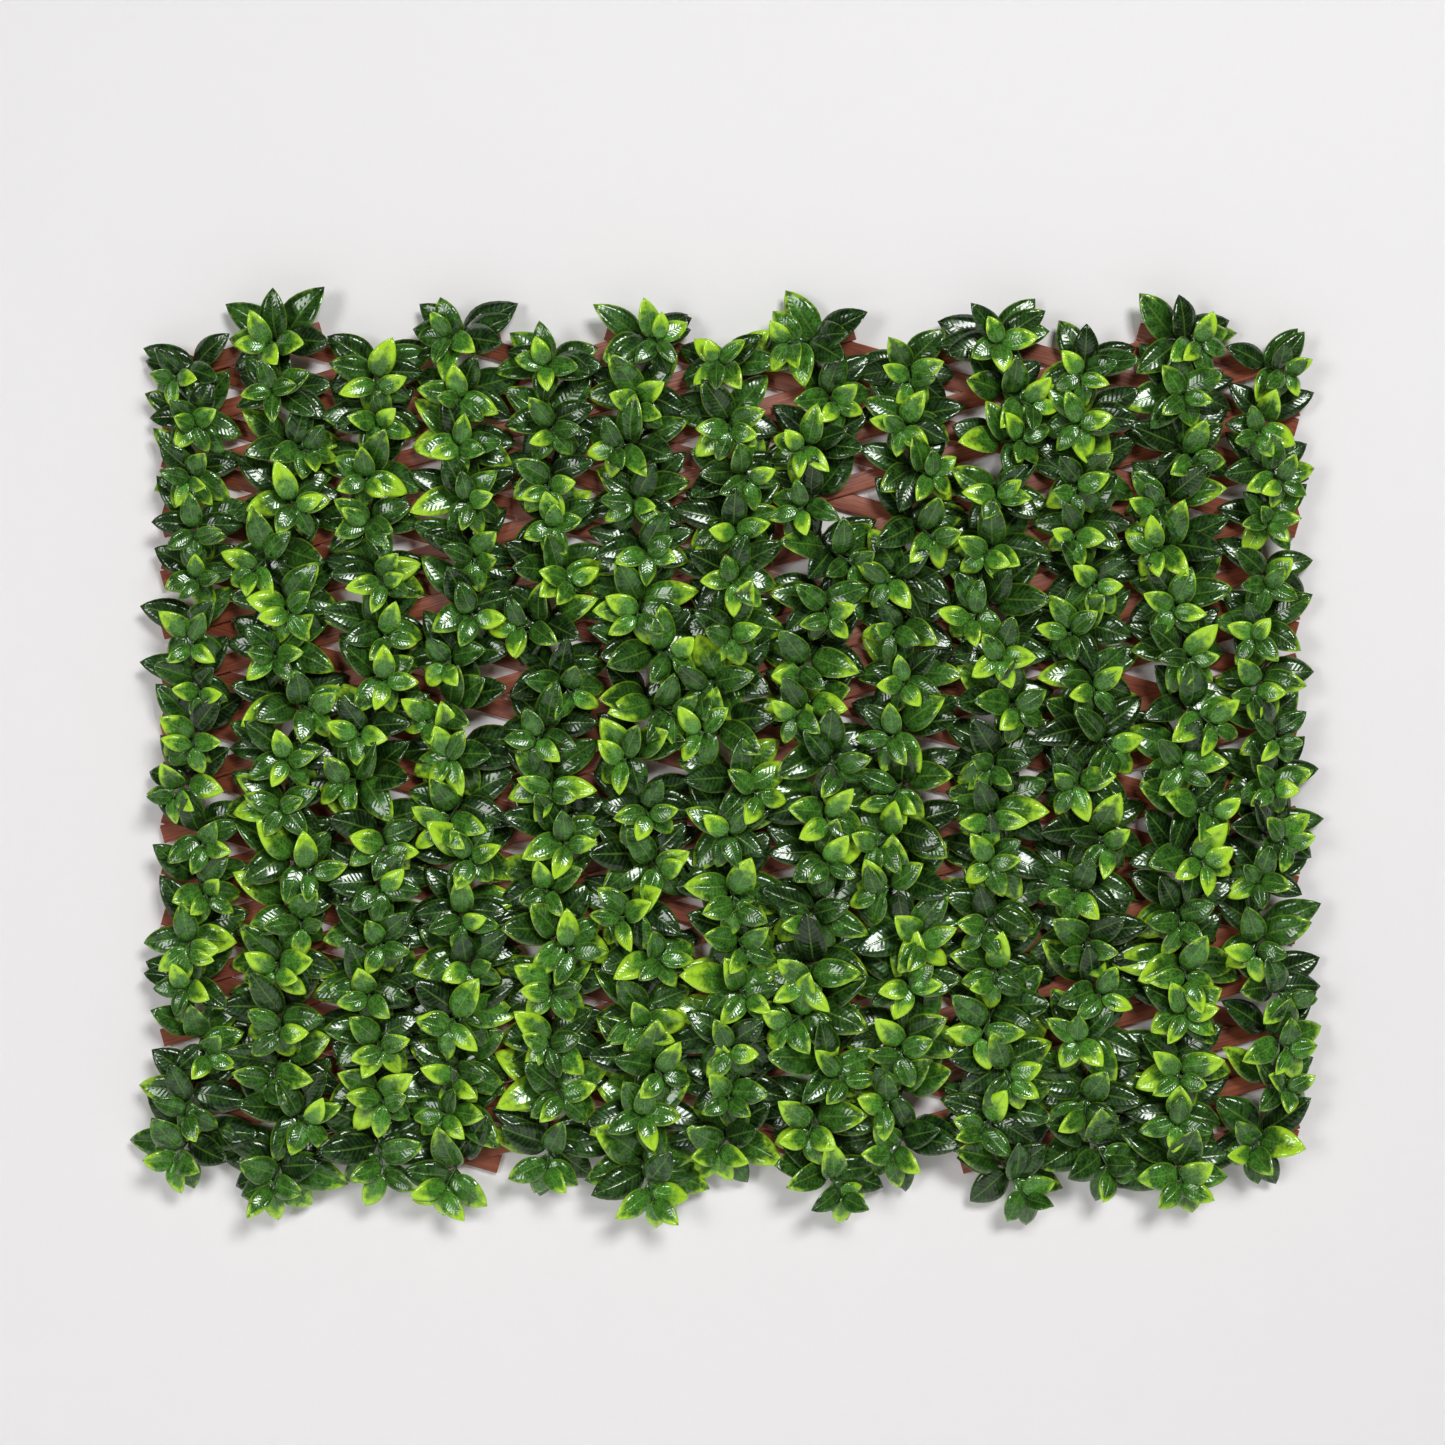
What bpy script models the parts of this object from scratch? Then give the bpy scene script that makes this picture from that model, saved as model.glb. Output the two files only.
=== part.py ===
# Expandable privacy panel: two layers of plastic slats, pinned at every crossing into a folding
# lattice, with a leaf sprig standing on the front of each pin. +Z is up, the wall is the plane
# y = 0, the front looks along -Y and the origin is where the centre pin meets the wall.
import math

import bmesh
import bpy
from mathutils import Matrix

OBJECT_NAME = "expandable_privacy_panel"

# The lattice, opened to the width and height that its outermost pins span. A column is a vertical
# line of crossings, and crossings of neighbouring columns lie half a row apart, so a place is a
# column and a count of half rows down from the top.
COLUMNS = 13
ROWS = 17
LATTICE_WIDTH = 1.1074
LATTICE_HEIGHT = 0.8468
SLAT_WIDTH = 0.019
SLAT_THICKNESS = 0.004
SLAT_OVERHANG = 0.038

# The pins
FIT_GAP = 0.0003
PIN_RADIUS = 0.0024
PIN_SIDES = 4
HOLE_SIDES = 5
PIN_TAIL = 0.0006
CENTRE_PIN_SIDES = 12
CENTRE_PIN_HEAD_RADIUS = 0.0050
CENTRE_PIN_HEAD_THICKNESS = 0.0010

# The leaf sprigs. Slats take turns at three stem lengths, so that sprigs pass over each other
# as the panel folds.
STEM_LENGTHS = (0.014, 0.027, 0.040)
STEM_RADIUS = 0.0018
STEM_SIDES = 3
LEAVES = 4
LEAF_REACH = 0.058
LEAF_CROWN = 0.012
LEAF_SIDE_SHARE = 0.56
LEAF_NOTCH_SHARE = 0.17
LEAF_SWING = math.radians(7)
LEAF_SWING_STEP = math.radians(137.5)

# How far a piece runs into what it is joined to, as a share of that piece's thickness
JOIN_SHARE = 0.35
CUT_OVERRUN = 0.001
MERGE_REACH = 0.00005

SLAT_COLOUR = (0.19, 0.052, 0.030, 1.0)
LEAF_COLOUR = (0.020, 0.13, 0.022, 1.0)

# Depths from the wall outward, towards the front
BACK_LAYER_REAR = CENTRE_PIN_HEAD_THICKNESS + FIT_GAP
BACK_LAYER_FRONT = BACK_LAYER_REAR + SLAT_THICKNESS
FRONT_LAYER_REAR = BACK_LAYER_FRONT + FIT_GAP
FRONT_LAYER_FRONT = FRONT_LAYER_REAR + SLAT_THICKNESS
PIN_END = BACK_LAYER_REAR - PIN_TAIL

# A hole's flat sides clear the pin's corners by the fit gap
HOLE_RADIUS = (PIN_RADIUS + FIT_GAP) / math.cos(math.pi / HOLE_SIDES)

# The slats' slope and the pins' pitch along them follow from how far the lattice is opened
HALF_ROWS = 2 * (ROWS - 1)
COLUMN_PITCH = LATTICE_WIDTH / (COLUMNS - 1)
HALF_ROW_PITCH = LATTICE_HEIGHT / HALF_ROWS
PIVOT_PITCH = math.hypot(COLUMN_PITCH, HALF_ROW_PITCH)
SLOPE = math.atan2(HALF_ROW_PITCH, COLUMN_PITCH)

CENTRE_COLUMN = COLUMNS // 2
CENTRE_HALF_ROW = ROWS - 1 - (CENTRE_COLUMN + ROWS) % 2
FRONT_FACING = Matrix.Rotation(math.pi / 2, 4, "X")


def crossing_place(column, half_row):
    """Where a crossing lies, as x and z."""
    x = (column - CENTRE_COLUMN) * COLUMN_PITCH
    z = (CENTRE_HALF_ROW - half_row) * HALF_ROW_PITCH
    return x, z


def slat_crossings(layer, line):
    """The crossings along a slat, left to right: line is half_row + column on a front slat, which
    rises to the right, and half_row - column on a back slat, which falls."""
    step = -1 if layer == "front" else 1
    places = [(column, line + step * column) for column in range(COLUMNS)]
    return [place for place in places if 0 <= place[1] <= HALF_ROWS]


def slat_lines(layer):
    """The lines of a layer's slats, from the top corner to the bottom corner."""
    lines = range(-COLUMNS, HALF_ROWS + COLUMNS)
    return [n for n in lines if n % 2 and len(slat_crossings(layer, n)) > 1]


def other_slat(layer, place):
    """The slat of the other layer at a crossing."""
    column, half_row = place
    if layer == "front":
        return "back", half_row - column
    return "front", half_row + column


def hinge_crossings():
    """The crossing at which each slat hangs on the slat before it, spreading out from the centre
    pin through slats that are already carried."""
    centre = (CENTRE_COLUMN, CENTRE_HALF_ROW)
    carried = {other_slat("back", centre): centre, other_slat("front", centre): centre}
    waiting = list(carried)
    while waiting:
        slat = waiting.pop(0)
        for place in slat_crossings(*slat):
            other = other_slat(slat[0], place)
            if other not in carried and len(slat_crossings(*other)) > 1:
                carried[other] = place
                waiting.append(other)
    return carried


def clear_scene():
    for thing in list(bpy.data.objects):
        bpy.data.objects.remove(thing, do_unlink=True)


def make_collection(name):
    collection = bpy.data.collections.new(name)
    bpy.context.scene.collection.children.link(collection)
    return collection


def make_material(name, colour, roughness):
    material = bpy.data.materials.new(name)
    material.use_nodes = True
    shader = material.node_tree.nodes["Principled BSDF"]
    shader.inputs["Base Color"].default_value = colour
    shader.inputs["Roughness"].default_value = roughness
    shader.inputs["Metallic"].default_value = 0.0
    return material


def add_object(name, bm, collection, material=None):
    """Turn a bmesh into a named object in a collection."""
    mesh = bpy.data.meshes.new(name)
    bm.to_mesh(mesh)
    bm.free()
    thing = bpy.data.objects.new(name, mesh)
    collection.objects.link(thing)
    if material:
        mesh.materials.append(material)
    return thing


def add_prism(bm, x, rear, front, radius, sides):
    """A prism that stands out from the wall between two depths."""
    made = bmesh.ops.create_cone(
        bm, cap_ends=True, segments=sides, radius1=radius, radius2=radius, depth=front - rear
    )
    place = Matrix.Translation((x, -(rear + front) / 2, 0))
    bmesh.ops.transform(bm, matrix=place @ FRONT_FACING, verts=made["verts"])


def add_rosette(bm, x, rear, turn):
    """A whorl of pointed leaves: a low cone whose rim is drawn in between the leaf tips."""
    rim_steps = 4 * LEAVES
    made = bmesh.ops.create_cone(
        bm, cap_ends=True, segments=rim_steps, radius1=LEAF_REACH, radius2=0, depth=LEAF_CROWN
    )
    shares = (1, LEAF_SIDE_SHARE, LEAF_NOTCH_SHARE, LEAF_SIDE_SHARE)
    for vert in made["verts"]:
        step = round(math.atan2(vert.co.y, vert.co.x) * rim_steps / math.tau)
        vert.co.xy *= shares[step % len(shares)]
    place = Matrix.Translation((x, -rear - LEAF_CROWN / 2, 0))
    turned = Matrix.Rotation(turn, 4, "Z")
    bmesh.ops.transform(bm, matrix=place @ FRONT_FACING @ turned, verts=made["verts"])


def stem_length(line):
    return STEM_LENGTHS[(line // 2) % len(STEM_LENGTHS)]


def rosette_turn(column, line):
    """Leaves point half way between the slat and its square, each rosette swung a little."""
    return math.pi / LEAVES + LEAF_SWING * math.sin(LEAF_SWING_STEP * (column + COLUMNS * line))


def set_boolean(thing, name, operation, tool):
    modifier = thing.modifiers.new(name, "BOOLEAN")
    modifier.operation = operation
    modifier.solver = "EXACT"
    modifier.object = tool


def hide_tool(tool, owner):
    """Put a cutter or a guide where its slat is, and keep it out of the picture."""
    tool.parent = owner
    tool.hide_render = True
    tool.display_type = "WIRE"


def add_tool(owner, suffix, fill, cutters):
    bm = bmesh.new()
    fill(bm)
    tool = add_object(f"{owner.name}_{suffix}", bm, cutters)
    hide_tool(tool, owner)
    return tool


def make_slat(layer, number, line, hinge, parts, cutters, material):
    """One slat with its origin on its hinge, running along its own X axis."""
    places = slat_crossings(layer, line)
    offsets = [(column - hinge[0]) * PIVOT_PITCH for column, half_row in places]
    start = offsets[0] - SLAT_OVERHANG
    end = offsets[-1] + SLAT_OVERHANG
    rear = FRONT_LAYER_REAR if layer == "front" else BACK_LAYER_REAR
    bm = bmesh.new()
    middle = Matrix.Translation(((start + end) / 2, -rear - SLAT_THICKNESS / 2, 0))
    size = Matrix.Diagonal((end - start, SLAT_THICKNESS, SLAT_WIDTH, 1))
    bmesh.ops.create_cube(bm, size=1, matrix=middle @ size)
    word = "rising" if layer == "front" else "falling"
    slat = add_object(f"{word}_slat_{number:02d}", bm, parts, material)
    x, z = crossing_place(*hinge)
    slat.location = (x, 0, z)
    slat.rotation_euler = (0, -SLOPE if layer == "front" else SLOPE, 0)
    return slat, list(zip(places, offsets))


def drill(slat, offsets, rear, cutters):
    """Pivot holes through one layer."""

    def holes(bm):
        for offset in offsets:
            front = rear + SLAT_THICKNESS + CUT_OVERRUN
            add_prism(bm, offset, rear - CUT_OVERRUN, front, HOLE_RADIUS, HOLE_SIDES)

    set_boolean(slat, "pivot holes", "DIFFERENCE", add_tool(slat, "holes", holes, cutters))


def plant(slat, line, stations, cutters):
    """Pins at the back of a front slat, and a stem and a rosette in front of each."""
    join = JOIN_SHARE * SLAT_THICKNESS
    leaf_level = FRONT_LAYER_FRONT + stem_length(line)

    def stalks(bm):
        for place, offset in stations:
            add_prism(bm, offset, PIN_END, FRONT_LAYER_REAR + join, PIN_RADIUS, PIN_SIDES)
            stem_top = leaf_level + JOIN_SHARE * LEAF_CROWN
            add_prism(bm, offset, FRONT_LAYER_FRONT - join, stem_top, STEM_RADIUS, STEM_SIDES)

    def leaves(bm):
        for (column, half_row), offset in stations:
            add_rosette(bm, offset, leaf_level, rosette_turn(column, line))

    set_boolean(slat, "pins and stems", "UNION", add_tool(slat, "stalks", stalks, cutters))
    set_boolean(slat, "leaves", "UNION", add_tool(slat, "leaves", leaves, cutters))


def make_centre_pin(parts, cutters, material):
    """The pin that meets the wall: a turned pin with a head behind the slats and a collar in
    front of them, which carries its own sprig."""
    collar_rear = FRONT_LAYER_FRONT + FIT_GAP
    collar_front = collar_rear + CENTRE_PIN_HEAD_THICKNESS
    line = CENTRE_COLUMN + CENTRE_HALF_ROW
    leaf_level = FRONT_LAYER_FRONT + stem_length(line)
    stem_top = leaf_level + JOIN_SHARE * LEAF_CROWN
    shank = PIN_RADIUS * math.cos(math.pi / HOLE_SIDES)
    profile = (
        (0, stem_top),
        (STEM_RADIUS, stem_top),
        (STEM_RADIUS, collar_front),
        (CENTRE_PIN_HEAD_RADIUS, collar_front),
        (CENTRE_PIN_HEAD_RADIUS, collar_rear),
        (shank, collar_rear),
        (shank, CENTRE_PIN_HEAD_THICKNESS),
        (CENTRE_PIN_HEAD_RADIUS, CENTRE_PIN_HEAD_THICKNESS),
        (CENTRE_PIN_HEAD_RADIUS, 0),
        (0, 0),
    )
    bm = bmesh.new()
    points = [bm.verts.new((radius, 0, depth)) for radius, depth in profile]
    for above, below in zip(points, points[1:]):
        bm.edges.new((above, below))
    bmesh.ops.transform(bm, matrix=FRONT_FACING, verts=bm.verts)
    pin = add_object("centre_pin", bm, parts, material)
    turned = pin.modifiers.new("turned", "SCREW")
    turned.axis = "Y"
    turned.steps = CENTRE_PIN_SIDES
    turned.render_steps = CENTRE_PIN_SIDES
    turned.use_merge_vertices = True
    turned.merge_threshold = MERGE_REACH
    turned.use_normal_calculate = True

    def leaves(bm):
        add_rosette(bm, 0, leaf_level, rosette_turn(CENTRE_COLUMN, line) + SLOPE)

    set_boolean(pin, "leaves", "UNION", add_tool(pin, "leaves", leaves, cutters))


def build():
    clear_scene()
    parts = make_collection(OBJECT_NAME)
    cutters = make_collection("cutters")
    hinges = hinge_crossings()
    centre = (CENTRE_COLUMN, CENTRE_HALF_ROW)
    pin_material = make_material("moulded stem plastic", LEAF_COLOUR, 0.35)
    make_centre_pin(parts, cutters, pin_material)
    for layer in ("back", "front"):
        for number, line in enumerate(slat_lines(layer), 1):
            material = make_material(f"{layer} slat {number:02d} plastic", SLAT_COLOUR, 0.6)
            hinge = hinges[(layer, line)]
            slat, stations = make_slat(layer, number, line, hinge, parts, cutters, material)
            if layer == "back":
                drill(slat, [offset for place, offset in stations], BACK_LAYER_REAR, cutters)
                continue
            sprigs = [station for station in stations if station[0] != centre]
            plant(slat, line, sprigs, cutters)
            if len(sprigs) < len(stations):
                drill(slat, [0], FRONT_LAYER_REAR, cutters)


build()
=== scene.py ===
import math
import random

import bmesh
import bpy
from mathutils import Matrix, Vector


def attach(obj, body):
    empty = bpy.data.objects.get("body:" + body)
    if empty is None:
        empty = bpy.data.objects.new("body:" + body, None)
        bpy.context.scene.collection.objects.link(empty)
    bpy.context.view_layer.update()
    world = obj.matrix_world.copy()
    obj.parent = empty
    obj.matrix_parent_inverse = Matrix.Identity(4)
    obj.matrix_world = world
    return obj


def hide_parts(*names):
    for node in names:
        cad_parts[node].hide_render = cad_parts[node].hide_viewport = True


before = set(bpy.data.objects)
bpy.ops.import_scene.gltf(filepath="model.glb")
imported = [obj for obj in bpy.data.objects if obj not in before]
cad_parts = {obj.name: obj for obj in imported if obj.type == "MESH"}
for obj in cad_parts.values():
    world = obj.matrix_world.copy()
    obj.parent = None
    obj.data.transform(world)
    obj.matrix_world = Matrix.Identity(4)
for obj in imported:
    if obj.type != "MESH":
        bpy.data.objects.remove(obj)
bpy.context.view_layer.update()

# Expandable privacy panel, in metres. The front looks along -Y, the wall is just behind y = 0 and
# the centre pin stands at x = 0, z = 0. A depth is a distance out from the wall, so y is minus the
# depth.


# THE SLATS
# Two layers of flat extruded PVC strips, coloured right through and embossed with a fine wood
# grain. The front layer rises to the right and the back layer falls. Both are cut off square.
SLATS_PER_LAYER = 22
COLUMNS = 13
OUTER_COLUMNS = (0, COLUMNS - 1)
HALF_ROWS = 32
CENTRE = (6, 15)
COLUMN_PITCH = 1.1074 / (COLUMNS - 1)
HALF_ROW_PITCH = 0.8468 / HALF_ROWS
PIN_PITCH = math.hypot(COLUMN_PITCH, HALF_ROW_PITCH)
SLOPE = math.atan2(HALF_ROW_PITCH, COLUMN_PITCH)
SLAT_WIDTH = 0.019
SLAT_THICKNESS = 0.004
SLAT_OVERHANG = 0.038
SLAT_EDGE_RADIUS = 0.0011
SLAT_EDGE_STEPS = 3
SLAT_END_BEVEL = 0.0004
BACK_LAYER_REAR = 0.0013
FRONT_LAYER_REAR = 0.0056
FRONT_LAYER_FRONT = FRONT_LAYER_REAR + SLAT_THICKNESS
BROWNS = 4


def colour(hex_text):
    """An sRGB hex value as a linear colour."""
    parts = [int(hex_text[i:i + 2], 16) / 255 for i in (1, 3, 5)]
    linear = [p / 12.92 if p <= 0.04045 else ((p + 0.055) / 1.055) ** 2.4 for p in parts]
    return (*linear, 1.0)


def add_node(tree, kind, settings=None, **sockets):
    """A node with its settings. A socket is named by its number after an s, and takes a link or a
    value."""
    node = tree.nodes.new(kind)
    for name, value in (settings or {}).items():
        setattr(node, name, value)
    for name, value in sockets.items():
        socket = node.inputs[int(name[1:])]
        if isinstance(value, bpy.types.NodeSocket):
            tree.links.new(value, socket)
        else:
            socket.default_value = value
    return node


def new_material(name, roughness, ior=1.5, coat=0.0):
    """A material with its shader's constant values set on the shader's own sockets."""
    material = bpy.data.materials.new(name)
    material.use_nodes = True
    shader = material.node_tree.nodes["Principled BSDF"]
    shader.inputs["Roughness"].default_value = roughness
    shader.inputs["IOR"].default_value = ior
    shader.inputs["Coat Weight"].default_value = coat
    return material, material.node_tree, shader


def link_object(name, bm, materials):
    """A smooth-shaded object from a bmesh."""
    mesh = bpy.data.meshes.new(name)
    bm.to_mesh(mesh)
    bm.free()
    for material in materials:
        mesh.materials.append(material)
    mesh.polygons.foreach_set("use_smooth", [True] * len(mesh.polygons))
    thing = bpy.data.objects.new(name, mesh)
    bpy.context.scene.collection.objects.link(thing)
    return thing


def join_rings(bm, rings, material_index=0):
    """A closed skin over rings of vertices."""
    faces = [bm.faces.new(list(reversed(rings[0]))), bm.faces.new(rings[-1])]
    for low, high in zip(rings, rings[1:]):
        for i in range(len(low)):
            j = (i + 1) % len(low)
            faces.append(bm.faces.new((low[i], low[j], high[j], high[i])))
    for face in faces:
        face.material_index = material_index


def place_of(column, half_row):
    """A crossing's place on the wall."""
    x = (column - CENTRE[0]) * COLUMN_PITCH
    z = (CENTRE[1] - half_row) * HALF_ROW_PITCH
    return Vector((x, 0, z))


def crossings_of(layer, number):
    """A slat's crossings from left to right, by its number from the top."""
    if layer == "rising":
        places = [(c, 2 * number - 1 - c) for c in range(COLUMNS)]
    else:
        places = [(c, 2 * number - COLUMNS + c) for c in range(COLUMNS)]
    return [place for place in places if 0 <= place[1] <= HALF_ROWS]


PLUS = {"operation": "ADD"}
TIMES = {"operation": "MULTIPLY"}
SCALED = {"operation": "SCALE"}
# nearly all values of a noise lie between these two
NOISE_LOW, NOISE_HIGH = 0.3, 0.7


def make_slat_pvc(name, stretch):
    """Rigid PVC, extruded and embossed: matt, with long soft streaks of grain in patches of lighter
    and darker brown. Each of the browns has its own stretch of the pattern. The real grain is about
    0.5 mm wide, too fine to show, so it is drawn twice as wide."""
    GRAIN_WIDTH = 0.0011
    GRAIN_LENGTH = 0.030
    GRAIN_DEPTH = 0.0004
    PATCH_LENGTH = 0.12
    material, tree, shader = new_material(name, roughness=0.55)
    spot = add_node(tree, "ShaderNodeTexCoord").outputs["Object"]
    spot = add_node(tree, "ShaderNodeVectorMath", PLUS, s0=spot,
                    s1=(stretch * 0.37, 0, stretch * 0.19)).outputs[0]
    grain_spot = add_node(tree, "ShaderNodeVectorMath", TIMES, s0=spot,
                          s1=(1 / GRAIN_LENGTH, 1 / GRAIN_WIDTH, 1 / GRAIN_WIDTH)).outputs[0]
    grain = add_node(tree, "ShaderNodeTexNoise", None, s0=grain_spot, s2=1.0, s3=3.0,
                     s4=0.6).outputs[0]
    patch_spot = add_node(tree, "ShaderNodeVectorMath", TIMES, s0=spot,
                          s1=(1 / PATCH_LENGTH, 1 / SLAT_WIDTH, 1 / SLAT_WIDTH)).outputs[0]
    patches = add_node(tree, "ShaderNodeTexNoise", None, s0=patch_spot, s2=1.0, s3=2.0).outputs[0]
    browns = add_node(tree, "ShaderNodeValToRGB", None, s0=grain)
    for stop, (position, brown) in zip(browns.color_ramp.elements,
                                       ((0.30, "#662F1D"), (0.66, "#A2593B"))):
        stop.position = position
        stop.color = colour(brown)
    tone = add_node(tree, "ShaderNodeMapRange", None, s0=patches, s1=NOISE_LOW, s2=NOISE_HIGH,
                    s3=0.86, s4=1.12).outputs[0]
    brown = add_node(tree, "ShaderNodeVectorMath", SCALED, s0=browns.outputs[0],
                     s3=tone).outputs[0]
    tree.links.new(brown, shader.inputs["Base Color"])
    bump = add_node(tree, "ShaderNodeBump", None, s0=0.35, s1=GRAIN_DEPTH)
    tree.links.new(grain, bump.inputs["Height"])
    tree.links.new(bump.outputs[0], shader.inputs["Normal"])
    rough = add_node(tree, "ShaderNodeMapRange", None, s0=grain, s1=NOISE_LOW, s2=NOISE_HIGH,
                     s3=0.62, s4=0.46).outputs[0]
    tree.links.new(rough, shader.inputs["Roughness"])
    return material


slat_pvc = [make_slat_pvc(f"terracotta_pvc_{i + 1}", i) for i in range(BROWNS)]


def slat_section():
    """The strip's section as depth and height, with rounded long edges."""
    points = []
    for turn, (side_d, side_z) in enumerate(((1, 1), (1, -1), (-1, -1), (-1, 1))):
        centre_d = side_d * (SLAT_THICKNESS / 2 - SLAT_EDGE_RADIUS)
        centre_z = side_z * (SLAT_WIDTH / 2 - SLAT_EDGE_RADIUS)
        for step in range(SLAT_EDGE_STEPS + 1):
            angle = math.pi / 2 * (1 - turn - step / SLAT_EDGE_STEPS)
            points.append((centre_d + SLAT_EDGE_RADIUS * math.cos(angle),
                           centre_z + SLAT_EDGE_RADIUS * math.sin(angle)))
    return points


def make_strip(layer, number):
    """One strip along its own X axis, with its origin at the wall under its first crossing."""
    places = crossings_of(layer, number)
    rear = FRONT_LAYER_REAR if layer == "rising" else BACK_LAYER_REAR
    middle = rear + SLAT_THICKNESS / 2
    left = -SLAT_OVERHANG
    right = (len(places) - 1) * PIN_PITCH + SLAT_OVERHANG
    bevelled = (1 - 2 * SLAT_END_BEVEL / SLAT_THICKNESS, 1 - 2 * SLAT_END_BEVEL / SLAT_WIDTH)
    stations = ((left, bevelled), (left + SLAT_END_BEVEL, (1, 1)),
                (right - SLAT_END_BEVEL, (1, 1)), (right, bevelled))
    bm = bmesh.new()
    join_rings(bm, [[bm.verts.new((x, -middle - d * share_d, z * share_z))
                     for d, z in slat_section()] for x, (share_d, share_z) in stations])
    bmesh.ops.recalc_face_normals(bm, faces=bm.faces)
    strip = link_object(f"{layer}_strip_{number:02d}", bm, [slat_pvc[3 * number % BROWNS]])
    # the sawn ends are flat
    strip.data.polygons.foreach_set(
        "use_smooth", [abs(face.normal.x) < 0.9 for face in strip.data.polygons])
    tilt = -SLOPE if layer == "rising" else SLOPE
    strip.matrix_world = Matrix.Translation(place_of(*places[0])) @ Matrix.Rotation(tilt, 4, "Y")
    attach(strip, f"{layer}_slat_{number:02d}")
    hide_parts(f"{layer}_slat_{number:02d}")


for layer in ("rising", "falling"):
    for number in range(1, SLATS_PER_LAYER + 1):
        make_strip(layer, number)


# THE SPRIGS' STEMS AND PINS
# Each crossing has a moulded polyethylene stem that tapers from 3.1 to 1.6 mm, with a collar on the
# slat. Its polypropylene pin goes through both layers and ends in a domed rivet head on the back.
OUT = Vector((0, -1, 0))
STEM_BASE_RADIUS = 0.00155
STEM_TIP_RADIUS = 0.0008
STEM_STEPS = 4
# round pieces as pairs of depth and radius, with the collar's depths from the slat's front
COLLAR = ((-0.0002, 0.0040), (0.00084, 0.0040), (0.0014, 0.0028))
PIN = ((BACK_LAYER_REAR, 0.0022), (FRONT_LAYER_FRONT, 0.0022))
RIVET_HEAD = ((BACK_LAYER_REAR, 0.0046), (0.0009, 0.0046), (0.0005, 0.002852), (0.0004, 0.00138))

# how far a stem's tip stands out from the slat
REACH = (0.029, 0.040)
LAST_ROWS_REACH = (0.020, 0.032)
# how far it hangs below its foot, and how much further at the bottom of the panel
DROOP = 0.015
DROOP_MORE_BELOW = 0.006
DROOP_SPREAD = 0.007
DROOP_SPREAD_LIMIT = 0.014
TOP_ROW_LIFT = 0.008
LAST_ROWS_DROOP = (0.021, 0.041)
# how far it leans aside, where the outer columns can't lean off the panel as far as the rest
SWING_SPREAD = 0.018
SWING_LIMIT = 0.034
OUTER_SWING_LIMIT = 0.018
# shares of the tip's lean, reach and droop that the stem's elbow has, so that a stem leaves the
# slat nearly straight and bends over
ELBOW_LEAN, ELBOW_REACH, ELBOW_DROOP = 0.25, 0.55, 0.15
# how far each pair of leaves is turned out of its place round the stem, in radians
LARGEST_PAIRS_SPREAD = (0.20, 0.28)
UPPER_PAIRS = 4
UPPER_PAIRS_SPREAD = 0.2


def make_stem_plastic():
    """Polyethylene, injection moulded: satin, in soft clouds of dark and mid green."""
    CLOUD_SIZE = 0.007143
    FLOW_DEPTH = 0.0002
    material, tree, shader = new_material("moulded_stem_polyethylene", roughness=0.38)
    spot = add_node(tree, "ShaderNodeTexCoord").outputs["Object"]
    cloud = add_node(tree, "ShaderNodeTexNoise", None, s0=spot, s2=1 / CLOUD_SIZE,
                     s3=3.0).outputs[0]
    greens = add_node(tree, "ShaderNodeValToRGB", None, s0=cloud)
    for stop, (position, green) in zip(greens.color_ramp.elements,
                                       ((0.32, "#1A3015"), (0.70, "#3E6324"))):
        stop.position = position
        stop.color = colour(green)
    tree.links.new(greens.outputs[0], shader.inputs["Base Color"])
    bump = add_node(tree, "ShaderNodeBump", None, s0=0.3, s1=FLOW_DEPTH)
    tree.links.new(cloud, bump.inputs["Height"])
    tree.links.new(bump.outputs[0], shader.inputs["Normal"])
    return material


def make_rivet_plastic():
    """Polypropylene, injection moulded: brown like the slats, smoother and a little darker."""
    CLOUD_SIZE = 0.01111
    material, tree, shader = new_material("moulded_rivet_polypropylene", roughness=0.42)
    spot = add_node(tree, "ShaderNodeTexCoord").outputs["Object"]
    cloud = add_node(tree, "ShaderNodeTexNoise", None, s0=spot, s2=1 / CLOUD_SIZE,
                     s3=4.0).outputs[0]
    browns = add_node(tree, "ShaderNodeValToRGB", None, s0=cloud)
    for stop, (position, brown) in zip(browns.color_ramp.elements,
                                       ((0.35, "#4E2A20"), (0.68, "#6A3B2D"))):
        stop.position = position
        stop.color = colour(brown)
    tree.links.new(browns.outputs[0], shader.inputs["Base Color"])
    return material


stem_plastic = make_stem_plastic()
rivet_plastic = make_rivet_plastic()


def kept_between(low, value, high):
    return max(low, min(high, value))


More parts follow.
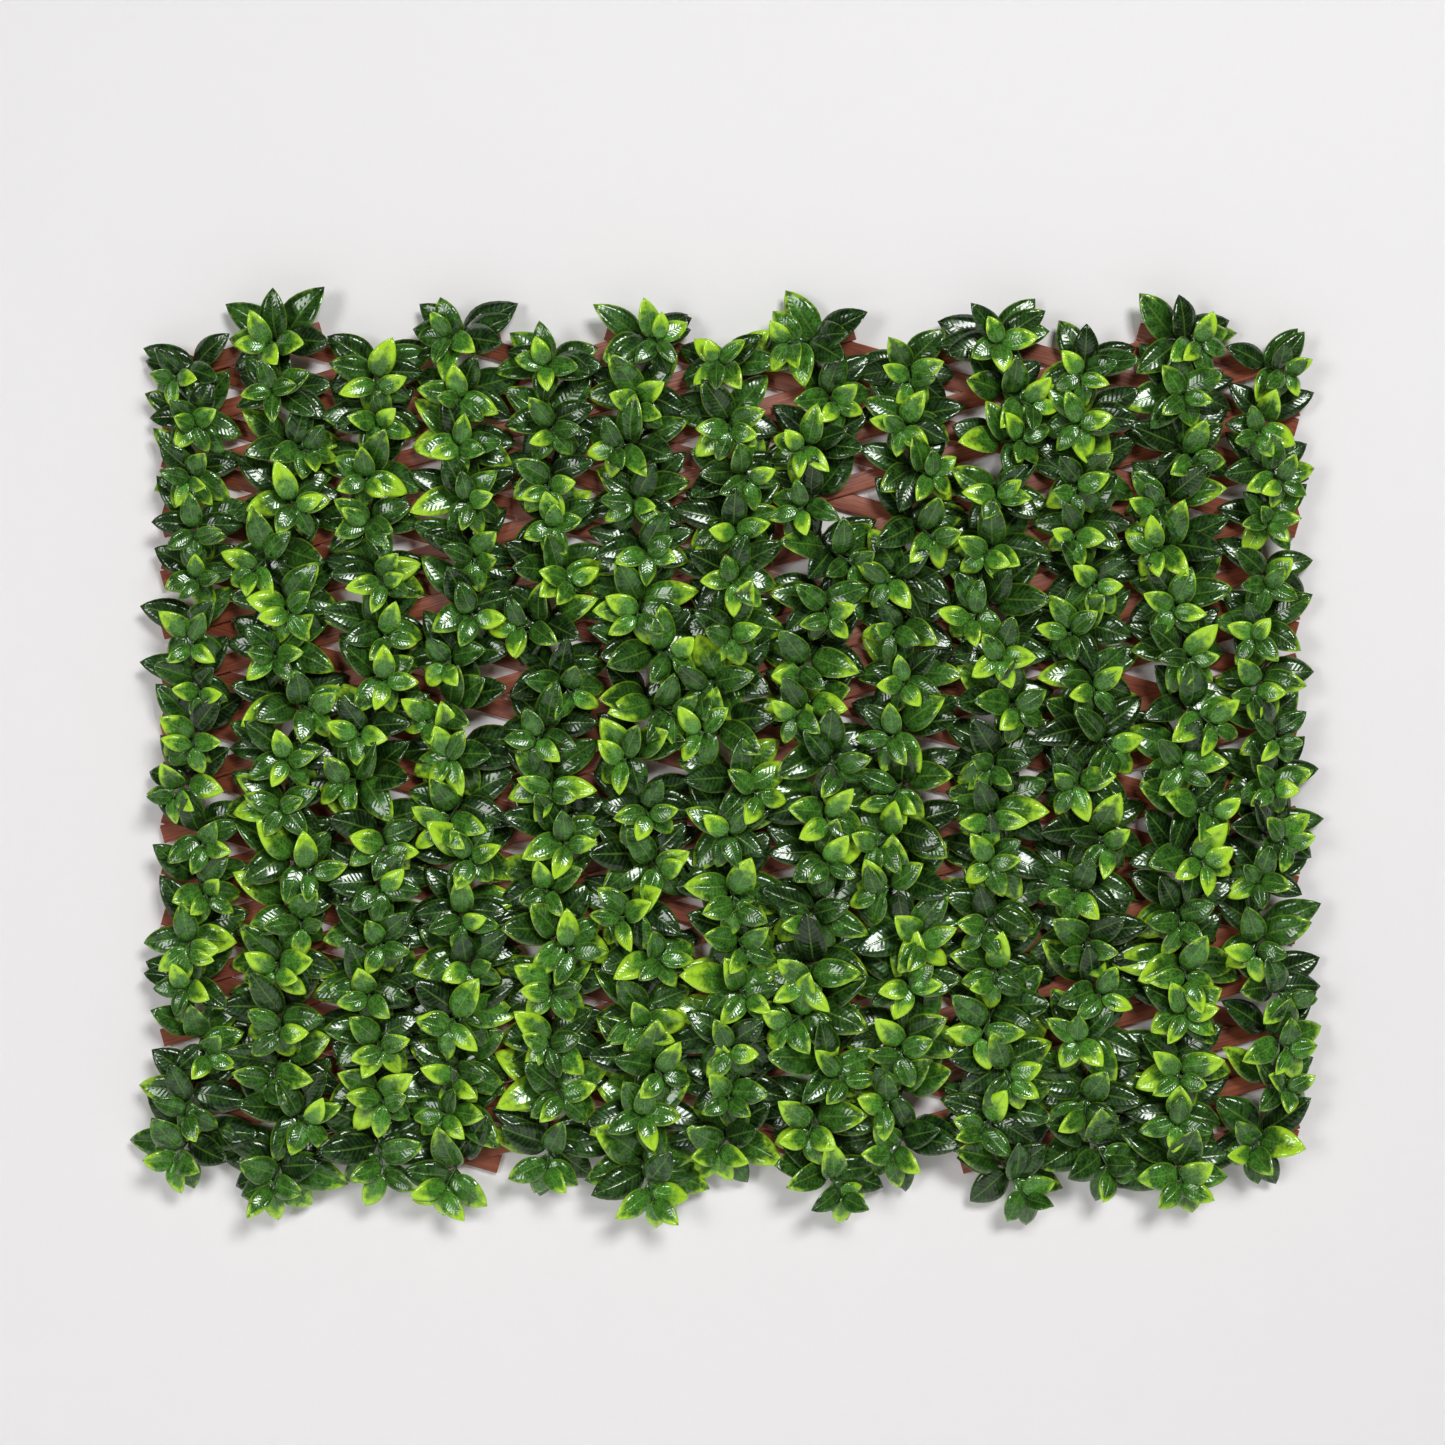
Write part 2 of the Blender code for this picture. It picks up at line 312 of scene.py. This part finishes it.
class Sprig:
    """Where one sprig's stem runs and which way its leaves turn."""

    def __init__(self, column, half_row):
        # each sprig draws from a seed of its own
        self.random = random.Random(7919 * column + 104729 * half_row + 11)
        rnd = self.random
        self.column = column
        self.half_row = half_row
        last_rows = half_row >= HALF_ROWS - 1
        foot = place_of(column, half_row)
        self.foot = Vector((foot.x, -FRONT_LAYER_FRONT, foot.z))
        droop = DROOP + DROOP_MORE_BELOW * half_row / HALF_ROWS
        droop += kept_between(-DROOP_SPREAD_LIMIT, rnd.gauss(0, DROOP_SPREAD), DROOP_SPREAD_LIMIT)
        if half_row == 0:
            droop -= TOP_ROW_LIFT
        if last_rows:
            droop = rnd.uniform(*LAST_ROWS_DROOP)
        furthest = OUTER_SWING_LIMIT if column in OUTER_COLUMNS else SWING_LIMIT
        swing = kept_between(-furthest, rnd.gauss(0, SWING_SPREAD), furthest)
        reach = rnd.uniform(*REACH)
        if last_rows:
            reach = rnd.uniform(*LAST_ROWS_REACH)
        self.tip = self.foot + Vector((swing, -reach, -droop))
        self.elbow = self.foot + Vector((swing * ELBOW_LEAN, -reach * ELBOW_REACH,
                                         -droop * ELBOW_DROOP))
        # the two largest pairs lie sideways, and the pairs above them cross each other
        start = rnd.uniform(0, math.pi)
        self.turns = [rnd.gauss(0, spread) for spread in LARGEST_PAIRS_SPREAD]
        self.turns += [start + math.pi / 2 * pair + rnd.gauss(0, UPPER_PAIRS_SPREAD)
                       for pair in range(UPPER_PAIRS)]

    def at(self, share):
        """A point and the direction along the stem at a share of its length."""
        a, b, c = self.foot, self.elbow, self.tip
        point = (1 - share) ** 2 * a + 2 * share * (1 - share) * b + share ** 2 * c
        along = (2 * (1 - share) * (b - a) + 2 * share * (c - b)).normalized()
        return point, along


def add_tube(bm, points, radii, sides, material_index=0):
    """A tube through points, closed at both ends."""
    askew = Vector((0.31, 0.2, 0.93))
    rings = []
    for i, (point, radius) in enumerate(zip(points, radii)):
        along = (points[min(i + 1, len(points) - 1)] - points[max(i - 1, 0)]).normalized()
        side = along.cross(askew).normalized()
        other = along.cross(side)
        angles = [math.tau * step / sides for step in range(sides)]
        rings.append([bm.verts.new(point + radius * (math.cos(angle) * side
                                                     + math.sin(angle) * other))
                      for angle in angles])
    join_rings(bm, rings, material_index)


def add_round_piece(bm, start, profile, sides, material_index=0):
    """A round piece square to the wall, from its pairs of depth and radius."""
    add_tube(bm, [start + OUT * depth for depth, radius in profile],
             [radius for depth, radius in profile], sides, material_index)


def add_stem(bm, sprig):
    """A sprig's stem with its collar, and the pin with its rivet head."""
    shares = [step / STEM_STEPS for step in range(STEM_STEPS + 1)]
    points = [sprig.at(share)[0] for share in shares]
    radii = [STEM_BASE_RADIUS + (STEM_TIP_RADIUS - STEM_BASE_RADIUS) * share for share in shares]
    add_tube(bm, points, radii, sides=7)
    add_round_piece(bm, sprig.foot, COLLAR, sides=12)
    # the pin and its head have the second material, the rivet's
    on_wall = Vector((sprig.foot.x, 0, sprig.foot.z))
    add_round_piece(bm, on_wall, PIN, sides=10, material_index=1)
    add_round_piece(bm, on_wall, RIVET_HEAD, sides=14, material_index=1)


# THE LEAVES
# Each sprig has six pairs of laurel-like leaves of moulded polyethylene, welded on the stem. The
# two largest, dark pairs lie sideways at its foot, the lowest raised like wings. The pairs above
# cross each other, and those at the tip are small, bright and sprayed lime.
LEAF_THICKNESS = 0.00045
LEAF_ROWS = 9
LEAF_HALF_COLUMNS = 2
STALK_HALF_WIDTH = 0.0009
LEAF_FLOOR = FRONT_LAYER_FRONT + 0.0025
DEPTH_LIMIT = 0.0585

# share of the stem, length, width, lift off square to the stem, curl, youth, and how far both
# leaves of the pair are raised, like wings
PAIRS = (
    (0.08, 0.059, 0.0325, 0.02, 0.45, 0.05, 0.55),
    (0.26, 0.057, 0.0315, 0.10, 0.55, 0.12, -0.12),
    (0.48, 0.051, 0.0290, 0.16, 0.60, 0.22, 0.0),
    (0.70, 0.044, 0.0255, 0.26, 0.62, 0.38, 0.0),
    (0.88, 0.036, 0.0215, 0.40, 0.62, 0.58, 0.0),
    (1.00, 0.031, 0.0190, 0.62, 0.62, 0.68, 0.0),
)
# some sprigs have lost their second pair, most of them in the outer columns
LOST_SHARE = 0.09
OUTER_LOST_SHARE = 0.80

# sprigs grow larger towards the bottom and in the edge rows, and smaller in the outer columns
SPRIG_SIZE = (0.92, 1.05)
LARGER_BELOW = 0.12
EDGE_HALF_ROWS = (0, HALF_ROWS - 1, HALF_ROWS)
EDGE_ROWS_LARGER = 0.06
OUTER_COLUMNS_SMALLER = 0.09

# how far single leaves depart from their pair
TURN_SPREAD = 0.22
LENGTH_SPREAD = (0.88, 1.10)
WIDTH_SPREAD = (0.90, 1.10)
LIFT_SPREAD = 0.14
CURL_SPREAD = (-0.2, 0.25)
YOUTH_SPREAD = 0.38
BRIGHT_SHARE = 0.15
BRIGHT_YOUTH = 0.40
# the lower pairs lie under the upper ones and get a darker range, as painted shade, and the upper
# pairs a lighter one, as painted light, around a random tone per leaf
LOWER_PAIRS_TONE_AND_PAINTED_SHADE = (0.46, 1.08)
UPPER_PAIRS_TONE_AND_PAINTED_LIGHT = (0.84, 1.36)

# how steeply a leaf may point to the wall and away from it, what its curl needs above the slats,
# and how far it turns its upper side to the light, out from the wall and up, the lower ones
# further up
OUTWARD_LIMITS = (-0.6, 0.8)
CURL_ROOM = 0.10
LIGHT_PULL = 0.62
LIGHT_HEIGHT = 0.28
LIGHT_HEIGHT_MORE_BELOW = 0.40
# how far a leaf's base stands off the stem's middle
BASE_OFFSET = 0.001

# a blade's fold along the midrib, hollow and rippled margin, twist and sideways sweep, and the
# share of its length at which it is level
FOLD = (0.20, 0.42)
CUP = (0.10, 0.30)
RIPPLE = (0.02, 0.07)
RIPPLE_WAVES = 9
TWIST = (-0.25, 0.25)
SWEEP = (-0.10, 0.10)
LEVEL_SHARE = 0.35


def leaf_outline(v):
    """Half width at a share of the length, as a share of the greatest."""
    base, tip = 0.68, 0.92
    peak = base / (base + tip)
    return v ** base * (1 - v) ** tip / (peak ** base * (1 - peak) ** tip)


MINUS = {"operation": "SUBTRACT"}
TIMES_PLUS = {"operation": "MULTIPLY_ADD"}
SMOOTH = {"interpolation_type": "SMOOTHSTEP"}
MIXED = {"data_type": "RGBA"}


def make_leaf_plastic():
    """Polyethylene, moulded over an engraved vein pattern and sprayed: glossy, deep green low down,
    lime in blotches towards the tips and along the margins, with a pale midrib and pale side veins
    3 to 5 mm apart."""
    CLOUD_SIZE = 0.014
    BLOTCH_SIZE = 0.008
    # the real net of small veins has meshes under 2 mm, and the pucker in them is finer still. Both
    # are too fine to show and are drawn about twice as coarse.
    NET_SIZE = 0.0036
    PUCKER_SIZE = 0.0024
    SIDE_VEINS = 12
    VEIN_SLANT = 0.17
    VEIN_DEPTH = 0.0004
    material, tree, shader = new_material("sprayed_leaf_polyethylene", roughness=0.30, ior=1.38,
                                          coat=0.85)
    shader.inputs["Coat Roughness"].default_value = 0.10
    # light that scatters just under the skin makes the sheen below the gloss a pale green
    shader.inputs["Specular Tint"].default_value = colour("#BEF0B6")
    shape = add_node(tree, "ShaderNodeAttribute", {"attribute_name": "leaf_place"})
    mood = add_node(tree, "ShaderNodeAttribute", {"attribute_name": "leaf_mood"})
    place = add_node(tree, "ShaderNodeSeparateXYZ", None, s0=shape.outputs["Vector"])
    tone = add_node(tree, "ShaderNodeSeparateXYZ", None, s0=mood.outputs["Vector"])
    across, along = place.outputs[0], place.outputs[1]
    youth, light, hue = tone.outputs[0], tone.outputs[1], tone.outputs[2]
    side = add_node(tree, "ShaderNodeMath", {"operation": "ABSOLUTE"}, s0=across).outputs[0]
    spot = add_node(tree, "ShaderNodeTexCoord").outputs["Object"]
    cloud = add_node(tree, "ShaderNodeTexNoise", None, s0=spot, s2=1 / CLOUD_SIZE,
                     s3=3.0).outputs[0]
    blotch = add_node(tree, "ShaderNodeTexNoise", None, s0=spot, s2=1 / BLOTCH_SIZE, s3=2.0,
                      s4=0.6).outputs[0]
    pucker = add_node(tree, "ShaderNodeTexNoise", None, s0=spot, s2=1 / PUCKER_SIZE,
                      s3=3.0).outputs[0]
    net = add_node(tree, "ShaderNodeTexVoronoi", {"feature": "DISTANCE_TO_EDGE"}, s0=spot,
                   s2=1 / NET_SIZE).outputs[0]

    # side veins leave the midrib at a slant and bend towards the tip
    slant = add_node(tree, "ShaderNodeMath", TIMES, s0=side, s1=VEIN_SLANT).outputs[0]
    climb = add_node(tree, "ShaderNodeMath", MINUS, s0=along, s1=slant).outputs[0]
    count = add_node(tree, "ShaderNodeMath", TIMES, s0=climb, s1=SIDE_VEINS).outputs[0]
    wave = add_node(tree, "ShaderNodeMath", {"operation": "PINGPONG"}, s0=count,
                    s1=0.5).outputs[0]
    vein = add_node(tree, "ShaderNodeMapRange", SMOOTH, s0=wave, s1=0.0, s2=0.16, s3=1.0,
                    s4=0.0).outputs[0]
    rib = add_node(tree, "ShaderNodeMapRange", SMOOTH, s0=side, s1=0.02, s2=0.09, s3=1.0,
                   s4=0.0).outputs[0]
    rim = add_node(tree, "ShaderNodeMapRange", SMOOTH, s0=side, s1=0.86, s2=0.97, s3=0.0,
                   s4=1.0).outputs[0]

    # old leaves are deep green and young ones mid green, in patches
    old = add_node(tree, "ShaderNodeMix", MIXED, s0=hue, s6=colour("#081B0A"),
                   s7=colour("#0E2A0C")).outputs[2]
    patch = add_node(tree, "ShaderNodeMapRange", None, s0=blotch, s1=0.35, s2=0.68, s3=-0.18,
                     s4=0.38).outputs[0]
    patchy_youth = add_node(tree, "ShaderNodeMath", {"operation": "ADD", "use_clamp": True},
                            s0=youth, s1=patch).outputs[0]
    green = add_node(tree, "ShaderNodeMix", MIXED, s0=patchy_youth, s6=old,
                     s7=colour("#447A26")).outputs[2]

    # the green is lighter in clouds and along the net of small veins. Each leaf's light factor also
    # scales it: a random tone, with painted shade on the lower pairs and painted light on the upper
    # ones
    shade = add_node(tree, "ShaderNodeMapRange", None, s0=cloud, s1=NOISE_LOW, s2=NOISE_HIGH,
                     s3=0.72, s4=1.22).outputs[0]
    net = add_node(tree, "ShaderNodeMapRange", None, s0=net, s1=0.02, s2=0.16, s3=0.50,
                   s4=0.0).outputs[0]
    speckle = add_node(tree, "ShaderNodeMapRange", None, s0=pucker, s1=NOISE_LOW, s2=NOISE_HIGH,
                       s3=0.56, s4=1.06).outputs[0]
    speckle = add_node(tree, "ShaderNodeMath", PLUS, s0=speckle, s1=net).outputs[0]
    lit = add_node(tree, "ShaderNodeMath", TIMES, s0=shade, s1=light).outputs[0]
    lit = add_node(tree, "ShaderNodeMath", TIMES, s0=lit, s1=speckle).outputs[0]
    green = add_node(tree, "ShaderNodeVectorMath", SCALED, s0=green, s3=lit).outputs[0]

    # the lime spray starts nearer the base the younger the leaf is
    start = add_node(tree, "ShaderNodeMapRange", None, s0=youth, s1=0.0, s2=1.0, s3=1.28,
                     s4=0.44).outputs[0]
    reach = add_node(tree, "ShaderNodeMath", MINUS, s0=along, s1=start).outputs[0]
    blur = add_node(tree, "ShaderNodeMapRange", None, s0=blotch, s1=NOISE_LOW, s2=NOISE_HIGH,
                    s3=-0.14, s4=0.14).outputs[0]
    edge_lift = add_node(tree, "ShaderNodeMath", TIMES_PLUS, s0=side, s1=0.32, s2=blur).outputs[0]
    reach = add_node(tree, "ShaderNodeMath", PLUS, s0=reach, s1=edge_lift).outputs[0]
    spray = add_node(tree, "ShaderNodeMapRange", SMOOTH, s0=reach, s1=-0.02, s2=0.44, s3=0.0,
                     s4=0.95).outputs[0]
    green = add_node(tree, "ShaderNodeMix", MIXED, s0=spray, s6=green,
                     s7=colour("#B6E632")).outputs[2]

    # the pale midrib and side veins, and the thin lime margin
    rib_share = add_node(tree, "ShaderNodeMath", TIMES, s0=rib, s1=0.30).outputs[0]
    green = add_node(tree, "ShaderNodeMix", MIXED, s0=rib_share, s6=green,
                     s7=colour("#7FA83C")).outputs[2]
    vein_share = add_node(tree, "ShaderNodeMath", TIMES, s0=vein, s1=0.11).outputs[0]
    green = add_node(tree, "ShaderNodeMix", MIXED, s0=vein_share, s6=green,
                     s7=colour("#86B048")).outputs[2]
    rim_sprayed = add_node(tree, "ShaderNodeMath", TIMES_PLUS, s0=youth, s1=0.50,
                           s2=0.12).outputs[0]
    rim_share = add_node(tree, "ShaderNodeMath", TIMES, s0=rim, s1=rim_sprayed).outputs[0]
    green = add_node(tree, "ShaderNodeMix", MIXED, s0=rim_share, s6=green,
                     s7=colour("#93BE2A")).outputs[2]
    tree.links.new(green, shader.inputs["Base Color"])

    # the engraved veins, and the slight pucker between them that breaks up the highlights
    height = add_node(tree, "ShaderNodeMath", TIMES_PLUS, s0=pucker, s1=0.05, s2=wave).outputs[0]
    height = add_node(tree, "ShaderNodeMath", MINUS, s0=height, s1=rib).outputs[0]
    bump = add_node(tree, "ShaderNodeBump", None, s0=0.40, s1=VEIN_DEPTH)
    tree.links.new(height, bump.inputs["Height"])
    tree.links.new(bump.outputs[0], shader.inputs["Normal"])
    tree.links.new(bump.outputs[0], shader.inputs["Coat Normal"])
    rough = add_node(tree, "ShaderNodeMapRange", None, s0=pucker, s1=NOISE_LOW, s2=NOISE_HIGH,
                     s3=0.28, s4=0.44).outputs[0]
    rough = add_node(tree, "ShaderNodeMath", TIMES_PLUS, s0=youth, s1=-0.12, s2=rough).outputs[0]
    tree.links.new(rough, shader.inputs["Roughness"])
    return material


leaf_plastic = make_leaf_plastic()


def add_leaf(bm, layers, base, along, normal, length, width, curl, mood, rnd):
    """One leaf blade as a curved sheet, folded along its midrib, with its lower end at base."""
    place_layer, mood_layer = layers
    across = normal.cross(along).normalized()
    fold = rnd.uniform(*FOLD)
    cup = rnd.uniform(*CUP)
    ripple = rnd.uniform(*RIPPLE)
    phase = rnd.uniform(0, math.tau)
    twist = rnd.uniform(*TWIST)
    sweep = rnd.uniform(*SWEEP)
    # the fold brings the margins nearer to each other
    narrowing = math.cos(fold * 0.6)
    point = base.copy()
    rows = []
    for row in range(LEAF_ROWS + 1):
        v = row / LEAF_ROWS
        angle = curl * (LEVEL_SHARE - v)
        forward = math.cos(angle) * along + math.sin(angle) * normal
        up = math.cos(angle) * normal - math.sin(angle) * along
        lean = twist * v
        right = math.cos(lean) * across + math.sin(lean) * up
        up = math.cos(lean) * up - math.sin(lean) * across
        half = width / 2 * leaf_outline(v) if row else STALK_HALF_WIDTH
        centre = point + right * sweep * length * v * v
        # the last row is the tip alone
        columns = LEAF_HALF_COLUMNS if row < LEAF_ROWS else 0
        verts = []
        for i in range(-columns, columns + 1):
            u = i / LEAF_HALF_COLUMNS
            wave = ripple * math.sin(phase + v * RIPPLE_WAVES + u)
            rise = half * (fold * abs(u) - cup * u * u + wave * u * u)
            vert = bm.verts.new(centre + right * (u * half * narrowing) + up * rise)
            vert[place_layer] = Vector((u, v, 0))
            vert[mood_layer] = mood
            verts.append(vert)
        rows.append(verts)
        point = point + forward * (length / LEAF_ROWS)
    for low, high in zip(rows, rows[1:]):
        for i in range(len(low) - 1):
            if len(high) == 1:
                bm.faces.new((low[i], low[i + 1], high[0]))
            else:
                bm.faces.new((low[i], low[i + 1], high[i + 1], high[i]))


def add_sprig_leaves(bm, layers, sprig):
    """A sprig's pairs of leaves, from the foot of its stem to the tip."""
    rnd = sprig.random
    down = sprig.half_row / HALF_ROWS
    outer = sprig.column in OUTER_COLUMNS
    size = rnd.uniform(*SPRIG_SIZE) + LARGER_BELOW * down
    if sprig.half_row in EDGE_HALF_ROWS:
        size += EDGE_ROWS_LARGER
    elif outer:
        size -= OUTER_COLUMNS_SMALLER
    to_light = Vector((0, -1, LIGHT_HEIGHT + LIGHT_HEIGHT_MORE_BELOW * down)).normalized()
    lost = rnd.random() < (OUTER_LOST_SHARE if outer else LOST_SHARE)
    for pair, (share, length, width, lift, curl, youth, wing) in enumerate(PAIRS):
        if pair == 1 and lost:
            continue
        node, stem_along = sprig.at(share)
        # leaves turn round the stem from level, or from square to the wall where it hangs down
        reference = stem_along.cross(Vector((0, 0, 1)))
        if reference.length < 0.2:
            reference = stem_along.cross(Vector((1, 0, 0)))
        reference.normalize()
        other = stem_along.cross(reference)
        for end in (0, 1):
            angle = (sprig.turns[pair] + end * math.pi + (2 * end - 1) * wing
                     + rnd.uniform(-TURN_SPREAD, TURN_SPREAD))
            radial = math.cos(angle) * reference + math.sin(angle) * other
            this_length = length * size * rnd.uniform(*LENGTH_SPREAD)
            this_width = width * size * rnd.uniform(*WIDTH_SPREAD)
            this_lift = lift + rnd.uniform(-LIFT_SPREAD, LIFT_SPREAD)
            direction = math.cos(this_lift) * radial + math.sin(this_lift) * stem_along
            # a leaf rests on the slats at its lowest, and none stands out past the sprig's depth
            depth = -node.y
            highest = (DEPTH_LIMIT - depth) / this_length
            lowest = (LEAF_FLOOR - depth) / this_length + CURL_ROOM
            outward = kept_between(lowest, -direction.y, highest)
            outward = kept_between(OUTWARD_LIMITS[0], outward, OUTWARD_LIMITS[1])
            # a leaf that points nearly straight out takes its way along the wall from its turn
            flat = Vector((direction.x, 0, direction.z))
            if flat.length < 0.05:
                flat = Vector((radial.x, 0, radial.z))
            flat.normalize()
            direction = flat * math.sqrt(1 - outward * outward) + OUT * outward
            facing = stem_along * (1 - LIGHT_PULL) + to_light * LIGHT_PULL
            normal = (facing - facing.dot(direction) * direction).normalized()
            this_youth = youth + rnd.uniform(-YOUTH_SPREAD, YOUTH_SPREAD)
            if pair < 4 and rnd.random() < BRIGHT_SHARE:
                this_youth += BRIGHT_YOUTH
            # each leaf's light factor: a random tone, darker on the lower pairs as painted shade
            # and lighter on the upper pairs as painted light
            light = rnd.uniform(*(LOWER_PAIRS_TONE_AND_PAINTED_SHADE if pair < 3 else UPPER_PAIRS_TONE_AND_PAINTED_LIGHT))
            mood = Vector((kept_between(0.0, this_youth, 1.0), light, rnd.random()))
            add_leaf(bm, layers, node + direction * BASE_OFFSET, direction, normal, this_length,
                     this_width, curl + rnd.uniform(*CURL_SPREAD), mood, rnd)


def make_sprigs(name, places, body):
    """The stems and the leaves of a slat's sprigs, as two pieces."""
    sprigs = [Sprig(*place) for place in places]
    bm = bmesh.new()
    for sprig in sprigs:
        add_stem(bm, sprig)
    bmesh.ops.recalc_face_normals(bm, faces=bm.faces)
    stems = link_object(f"sprig_stems_{name}", bm, [stem_plastic, rivet_plastic])
    bm = bmesh.new()
    layers = [bm.verts.layers.float_vector.new(key) for key in ("leaf_place", "leaf_mood")]
    for sprig in sprigs:
        add_sprig_leaves(bm, layers, sprig)
    leaves = link_object(f"sprig_leaves_{name}", bm, [leaf_plastic])
    thick = leaves.modifiers.new("leaf thickness", "SOLIDIFY")
    thick.thickness = LEAF_THICKNESS
    thick.offset = -1
    for piece, slot in ((stems, "stem_plastic"), (leaves, "leaf_plastic")):
        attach(piece, body)
        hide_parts(body)


for number in range(1, SLATS_PER_LAYER + 1):
    places = [place for place in crossings_of("rising", number) if place != CENTRE]
    make_sprigs(f"{number:02d}", places, f"rising_slat_{number:02d}")
make_sprigs("centre", [CENTRE], "centre_pin")


# THE WALL, THE FLOOR, THE LIGHT AND THE CAMERA
# A pale painted wall just behind the panel and a pale floor below it. The wall is open to view from
# behind, and the rear softbox lights the panel's back through it.
WALL_BACK = 0.0015
STAGE_HALF = 4.0
FLOOR_LEVEL = -1.75


def make_wall_paint():
    """Matt emulsion, rolled: nearly white, with a fine orange peel that is drawn 1.7 mm wide, a
    little coarser than the real one, so that it shows. It is clear from behind."""
    PEEL_SIZE = 0.0016667
    material, tree, shader = new_material("rolled_wall_emulsion", roughness=0.7)
    spot = add_node(tree, "ShaderNodeTexCoord").outputs["Object"]
    peel = add_node(tree, "ShaderNodeTexNoise", None, s0=spot, s2=1 / PEEL_SIZE, s3=2.0)
    whites = add_node(tree, "ShaderNodeValToRGB", None, s0=peel.outputs[0])
    for stop, white in zip(whites.color_ramp.elements, ("#EFEDED", "#F4F3F3")):
        stop.color = colour(white)
    tree.links.new(whites.outputs[0], shader.inputs["Base Color"])
    geometry = add_node(tree, "ShaderNodeNewGeometry")
    clear = add_node(tree, "ShaderNodeBsdfTransparent")
    mixed = add_node(tree, "ShaderNodeMixShader", None, s0=geometry.outputs["Backfacing"],
                     s1=shader.outputs[0], s2=clear.outputs[0])
    tree.links.new(mixed.outputs[0], tree.nodes["Material Output"].inputs[0])
    return material


wall_paint = make_wall_paint()


def make_stage(name, corners):
    bm = bmesh.new()
    bm.faces.new([bm.verts.new(corner) for corner in corners])
    thing = link_object(name, bm, [wall_paint])
    return thing


wall = make_stage("wall", ((-STAGE_HALF, WALL_BACK, FLOOR_LEVEL),
                           (STAGE_HALF, WALL_BACK, FLOOR_LEVEL),
                           (STAGE_HALF, WALL_BACK, STAGE_HALF),
                           (-STAGE_HALF, WALL_BACK, STAGE_HALF)))
wall.visible_shadow = False
make_stage("floor", ((-STAGE_HALF, -STAGE_HALF, FLOOR_LEVEL),
                     (STAGE_HALF, -STAGE_HALF, FLOOR_LEVEL),
                     (STAGE_HALF, STAGE_HALF, FLOOR_LEVEL),
                     (-STAGE_HALF, STAGE_HALF, FLOOR_LEVEL)))


def add_softbox(name, where, aim, size, watts):
    light = bpy.data.lights.new(name, "AREA")
    light.shape = "RECTANGLE"
    light.size, light.size_y = size
    light.energy = watts
    lamp = bpy.data.objects.new(name, light)
    bpy.context.scene.collection.objects.link(lamp)
    lamp.location = where
    lamp.rotation_euler = (Vector(aim) - Vector(where)).to_track_quat("-Z", "Y").to_euler()


add_softbox("key_softbox", where=(1.5, -4.6, 2.2), aim=(0, 0, -0.2), size=(1.6, 1.3), watts=170)
add_softbox("left_softbox", where=(-2.4, -4.2, 0.2), aim=(0, 0, -0.2), size=(1.2, 1.6), watts=62)
add_softbox("rear_softbox", where=(-1.6, 2.6, 1.6), aim=(0, 0, 0), size=(1.4, 1.4), watts=52)

# the studio round the stage looks pale, but gives the object only a little fill light
FILL_STRENGTH = 0.035
BACKDROP_STRENGTH = 0.80
world = bpy.data.worlds.new("studio")
bpy.context.scene.world = world
world.use_nodes = True
backdrop = world.node_tree.nodes["Background"]
backdrop.inputs[0].default_value = colour("#F6F8FA")
seen = add_node(world.node_tree, "ShaderNodeLightPath").outputs["Is Camera Ray"]
strength = add_node(world.node_tree, "ShaderNodeMath", TIMES_PLUS, s0=seen,
                    s1=BACKDROP_STRENGTH - FILL_STRENGTH, s2=FILL_STRENGTH)
world.node_tree.links.new(strength.outputs[0], backdrop.inputs[1])

# The camera faces the panel squarely. Its view is 1.503 m wide at the slats.
CAMERA_DISTANCE = 2.5
VIEW_WIDTH = 1.5028
VIEW_CENTRE = Vector((-0.0078, -0.0076, 0))
camera = bpy.data.cameras.new("camera")
camera.sensor_width = 36
camera.lens = camera.sensor_width * CAMERA_DISTANCE / VIEW_WIDTH
viewer = bpy.data.objects.new("camera", camera)
bpy.context.scene.collection.objects.link(viewer)
viewer.location = VIEW_CENTRE + OUT * CAMERA_DISTANCE
viewer.rotation_euler = (math.pi / 2, 0, 0)
bpy.context.scene.camera = viewer
bpy.context.scene.view_settings.view_transform = "Standard"
